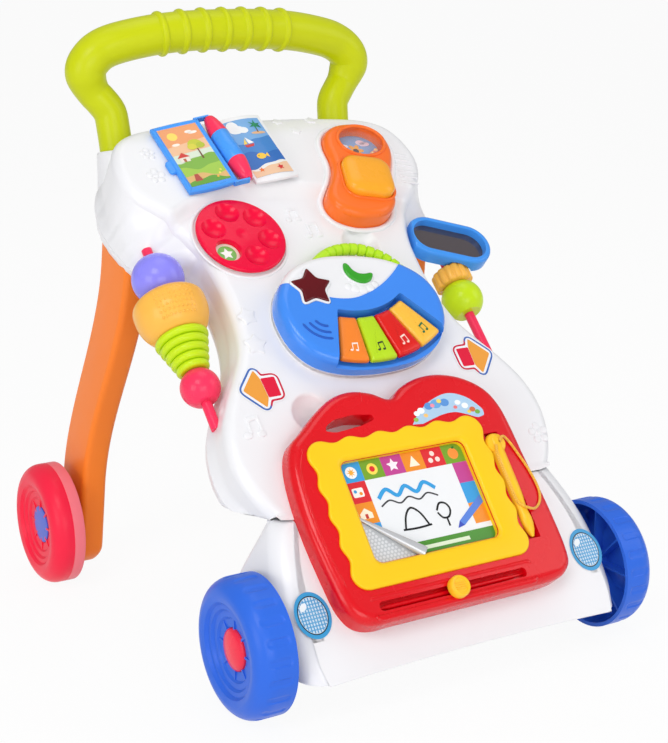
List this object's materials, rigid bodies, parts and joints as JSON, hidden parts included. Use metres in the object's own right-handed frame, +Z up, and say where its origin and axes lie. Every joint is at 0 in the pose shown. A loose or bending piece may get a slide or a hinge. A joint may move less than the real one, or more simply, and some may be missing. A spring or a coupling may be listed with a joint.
{
  "type": "push-along baby walker",
  "caption": "Push-along baby walker: sloping white activity panel on wheels with a push handle, bead strings, mirror, flip book, dial, lift-off music box and lift-off drawing tablet.",
  "frame": {"origin": "centre of the bounding box's bottom face, on the floor under the middle of the walker", "axes": "+Z up, +X to the right as seen by someone facing the panel, the panel faces -Y and the push handle is on the +Y side"},
  "size_m": [0.3818, 0.407, 0.4628],
  "materials": {
    "front_panel": "glossy white",
    "rear_cover": "glossy white",
    "base_shell": "glossy white",
    "base_cover": "satin white",
    "handle": "satin lime",
    "leg_left": "satin orange",
    "leg_right": "satin orange",
    "front_axle": "plain",
    "rear_axle_left": "plain",
    "rear_axle_right": "plain",
    "front_wheel_left": "satin blue",
    "front_wheel_right": "satin blue",
    "front_cap_left": "glossy red",
    "front_cap_right": "glossy red",
    "rear_wheel_left": "satin red",
    "rear_wheel_right": "satin red",
    "rear_ring_left": "satin pink",
    "rear_ring_right": "satin pink",
    "rear_cap_left": "glossy blue",
    "rear_cap_right": "glossy blue",
    "bead_rod_left": "glossy pink",
    "bead_rod_right": "glossy pink",
    "left_bead_ball": "glossy violet",
    "left_bead_barrel": "glossy amber",
    "left_bead_cone": "glossy lime",
    "left_bead_small": "glossy pink",
    "right_bead_gear": "glossy amber",
    "right_bead_ball": "glossy lime",
    "mirror_frame": "glossy sky blue",
    "mirror_plate": "safety mirror",
    "book_base": null,
    "book_page": null,
    "book_roller": "blue middle with pink ends",
    "horn_housing": "glossy orange",
    "horn_button": "glossy amber",
    "bead_window": "clear plastic",
    "window_beads": "mixed colours",
    "dial": "glossy red",
    "dial_picture": "printed card",
    "music_case": "glossy blue",
    "music_back": "glossy white",
    "key_1": "glossy orange",
    "key_2": "glossy lime",
    "key_3": "glossy red",
    "key_4": "glossy amber",
    "star_lens": "dark red lens",
    "crescent_button": "glossy green",
    "carry_handle": "satin lime",
    "speaker": "paper cone in a steel basket",
    "circuit_board": "circuit board",
    "batteries": "dry cells",
    "battery_door": "satin white",
    "tablet_case": "glossy red",
    "tablet_back": "glossy red",
    "tablet_frame": "glossy yellow",
    "tablet_screen": "magnetic drawing film",
    "eraser": "glossy yellow",
    "pen": "glossy yellow",
    "pen_cord": "braided yellow string",
    "screws": "plain"
  },
  "bodies": {
    "frame": {"front_panel": "front_panel", "rear_cover": "rear_cover", "base_shell": "base_shell", "base_cover": "base_cover", "handle": "handle", "leg_left": "leg_left", "leg_right": "leg_right", "front_axle": "front_axle", "rear_axle_left": "rear_axle_left", "rear_axle_right": "rear_axle_right", "bead_rod_left": "bead_rod_left", "bead_rod_right": "bead_rod_right", "mirror_frame": "mirror_frame", "mirror_plate": "mirror_plate", "book_base": "book_base", "horn_housing": "horn_housing", "bead_window": "bead_window", "window_beads": "window_beads", "dial_picture": "dial_picture", "screws": "screws"},
    "front_left_wheel": {"front_wheel_left": "front_wheel_left", "front_cap_left": "front_cap_left"},
    "front_right_wheel": {"front_wheel_right": "front_wheel_right", "front_cap_right": "front_cap_right"},
    "rear_left_wheel": {"rear_wheel_left": "rear_wheel_left", "rear_ring_left": "rear_ring_left", "rear_cap_left": "rear_cap_left"},
    "rear_right_wheel": {"rear_wheel_right": "rear_wheel_right", "rear_ring_right": "rear_ring_right", "rear_cap_right": "rear_cap_right"},
    "left_ball": {"left_bead_ball": "left_bead_ball"},
    "left_barrel": {"left_bead_barrel": "left_bead_barrel"},
    "left_cone": {"left_bead_cone": "left_bead_cone"},
    "left_small": {"left_bead_small": "left_bead_small"},
    "right_gear": {"right_bead_gear": "right_bead_gear"},
    "right_ball": {"right_bead_ball": "right_bead_ball"},
    "page": {"book_page": "book_page"},
    "roller": {"book_roller": "book_roller"},
    "button": {"horn_button": "horn_button"},
    "finger_dial": {"dial": "dial"},
    "music_box": {"music_case": "music_case", "music_back": "music_back", "star_lens": "star_lens", "carry_handle": "carry_handle", "speaker": "speaker", "circuit_board": "circuit_board", "batteries": "batteries", "battery_door": "battery_door"},
    "key_a": {"key_1": "key_1"},
    "key_b": {"key_2": "key_2"},
    "key_c": {"key_3": "key_3"},
    "key_d": {"key_4": "key_4"},
    "crescent": {"crescent_button": "crescent_button"},
    "tablet": {"tablet_case": "tablet_case", "tablet_back": "tablet_back", "tablet_frame": "tablet_frame", "tablet_screen": "tablet_screen"},
    "eraser_slider": {"eraser": "eraser"},
    "drawing_pen": {"pen": "pen", "pen_cord": "pen_cord"}
  },
  "joints": [
    {"name": "front_left_spin", "type": "hinge", "parent": "frame", "child": "front_left_wheel", "pos_m": [-0.155, -0.1465, 0.0494], "axis": [1, 0, 0], "continuous": true},
    {"name": "rear_left_spin", "type": "hinge", "parent": "frame", "child": "rear_left_wheel", "pos_m": [-0.176, 0.1541, 0.0494], "axis": [1, 0, 0], "continuous": true},
    {"name": "front_right_spin", "type": "hinge", "parent": "frame", "child": "front_right_wheel", "pos_m": [0.155, -0.1465, 0.0494], "axis": [1, 0, 0], "continuous": true},
    {"name": "rear_right_spin", "type": "hinge", "parent": "frame", "child": "rear_right_wheel", "pos_m": [0.176, 0.1541, 0.0494], "axis": [1, 0, 0], "continuous": true},
    {"name": "left_ball_spin", "type": "hinge", "parent": "frame", "child": "left_ball", "pos_m": [-0.127, 0.03674, 0.26852], "axis": [0, 0.7009, 0.7133], "continuous": true},
    {"name": "left_barrel_spin", "type": "hinge", "parent": "frame", "child": "left_barrel", "pos_m": [-0.127, 0.01221, 0.24356], "axis": [0, 0.7009, 0.7133], "continuous": true},
    {"name": "left_cone_spin", "type": "hinge", "parent": "frame", "child": "left_cone", "pos_m": [-0.127, -0.01022, 0.22073], "axis": [0, 0.7009, 0.7133], "continuous": true},
    {"name": "left_small_spin", "type": "hinge", "parent": "frame", "child": "left_small", "pos_m": [-0.127, -0.03054, 0.20005], "axis": [0, 0.7009, 0.7133], "continuous": true},
    {"name": "right_gear_spin", "type": "hinge", "parent": "frame", "child": "right_gear", "pos_m": [0.127, 0.01502, 0.24641], "axis": [0, 0.7009, 0.7133], "continuous": true},
    {"name": "right_ball_spin", "type": "hinge", "parent": "frame", "child": "right_ball", "pos_m": [0.127, 0.0003, 0.23143], "axis": [0, 0.7009, 0.7133], "continuous": true},
    {"name": "page_turn", "type": "hinge", "parent": "frame", "child": "page", "pos_m": [-0.04, 0.0874, 0.35612], "axis": [-0.0872, 0.7889, 0.6083], "range_deg": [0, 186]},
    {"name": "roller_spin", "type": "hinge", "parent": "frame", "child": "roller", "pos_m": [-0.04, 0.0874, 0.35612], "axis": [-0.0872, 0.7889, 0.6083], "continuous": true},
    {"name": "button_press", "type": "slide", "parent": "frame", "child": "button", "axis": [0, 0.6259, -0.7799], "range_m": [0, 0.004], "stiffness_N_per_m": 400},
    {"name": "dial_spin", "type": "hinge", "parent": "frame", "child": "finger_dial", "pos_m": [-0.058, 0.03416, 0.29559], "axis": [0, -0.6504, 0.7596], "continuous": true},
    {"name": "music_box_lift", "type": "slide", "parent": "frame", "child": "music_box", "axis": [0, -0.6927, 0.7212], "range_m": [0, 0.1]},
    {"name": "key_a_press", "type": "slide", "parent": "music_box", "child": "key_a", "axis": [0, 0.6927, -0.7212], "range_m": [0, 0.0025], "stiffness_N_per_m": 300},
    {"name": "key_b_press", "type": "slide", "parent": "music_box", "child": "key_b", "axis": [0, 0.6927, -0.7212], "range_m": [0, 0.0025], "stiffness_N_per_m": 300},
    {"name": "key_c_press", "type": "slide", "parent": "music_box", "child": "key_c", "axis": [0, 0.6927, -0.7212], "range_m": [0, 0.0025], "stiffness_N_per_m": 300},
    {"name": "key_d_press", "type": "slide", "parent": "music_box", "child": "key_d", "axis": [0, 0.6927, -0.7212], "range_m": [0, 0.0025], "stiffness_N_per_m": 300},
    {"name": "crescent_press", "type": "slide", "parent": "music_box", "child": "crescent", "axis": [0, 0.6927, -0.7212], "range_m": [0, 0.0012], "stiffness_N_per_m": 300},
    {"name": "tablet_lift", "type": "slide", "parent": "frame", "child": "tablet", "axis": [0, -0.7592, 0.6509], "range_m": [0, 0.12]},
    {"name": "eraser_slide", "type": "slide", "parent": "tablet", "child": "eraser_slider", "axis": [1, 0, 0], "range_m": [-0.06, 0.057]},
    {"name": "pen_lift", "type": "slide", "parent": "tablet", "child": "drawing_pen", "axis": [0, -0.7592, 0.6509], "range_m": [0, 0.08]}
  ]
}
